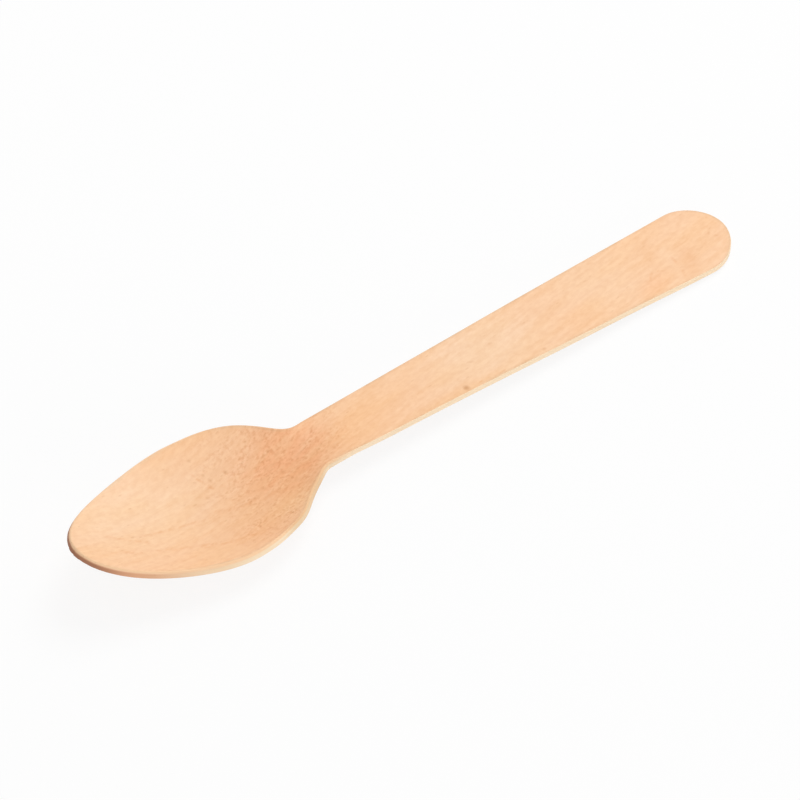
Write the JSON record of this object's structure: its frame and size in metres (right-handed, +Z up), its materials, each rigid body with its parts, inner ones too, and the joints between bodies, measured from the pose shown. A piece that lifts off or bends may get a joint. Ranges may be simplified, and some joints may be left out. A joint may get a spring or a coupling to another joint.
{
  "type": "disposable wooden spoon",
  "caption": "Disposable eating spoon pressed from thin birch veneer, with a shallow pointed bowl, a turned-up tip, a narrow neck and a flat handle that widens to a round end.",
  "frame": {"origin": "centre of the bounding box at the level of the table that the spoon lies on", "axes": "+X along the spoon from its tip to the end of its handle, +Y across it, +Z up out of the bowl"},
  "size_m": [0.1602, 0.0334, 0.0147],
  "materials": {
    "birch_veneer": "bare sanded birch veneer, matt, fine grain along the spoon, paler cut edges"
  },
  "bodies": {
    "root": {"spoon": "birch_veneer"}
  },
  "joints": []
}
